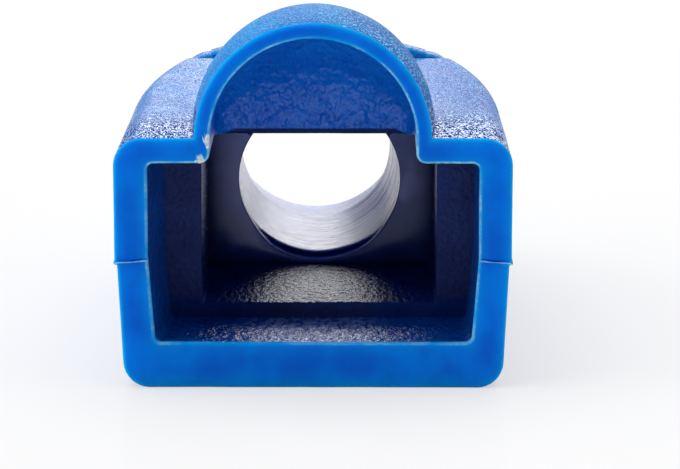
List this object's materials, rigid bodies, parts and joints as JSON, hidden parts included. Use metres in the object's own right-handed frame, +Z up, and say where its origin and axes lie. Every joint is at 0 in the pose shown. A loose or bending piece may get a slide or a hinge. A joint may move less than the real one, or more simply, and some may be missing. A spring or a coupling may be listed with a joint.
{
  "type": "rj45 strain relief boot",
  "caption": "Slip-on moulded boot for an RJ45 plug: open mouth, latch cover on top, stepped pocket, cable bore and a collared tail.",
  "frame": {"origin": "on the resting face, midway across the width and along the length", "axes": "+Y from the plug mouth to the cable end, +Z up towards the latch cover, +X to the right seen from the mouth"},
  "size_m": [0.0142, 0.0226, 0.0134],
  "materials": {
    "soft_pvc": "satin"
  },
  "bodies": {
    "root": {"strain_relief_boot": "soft_pvc"}
  },
  "joints": []
}
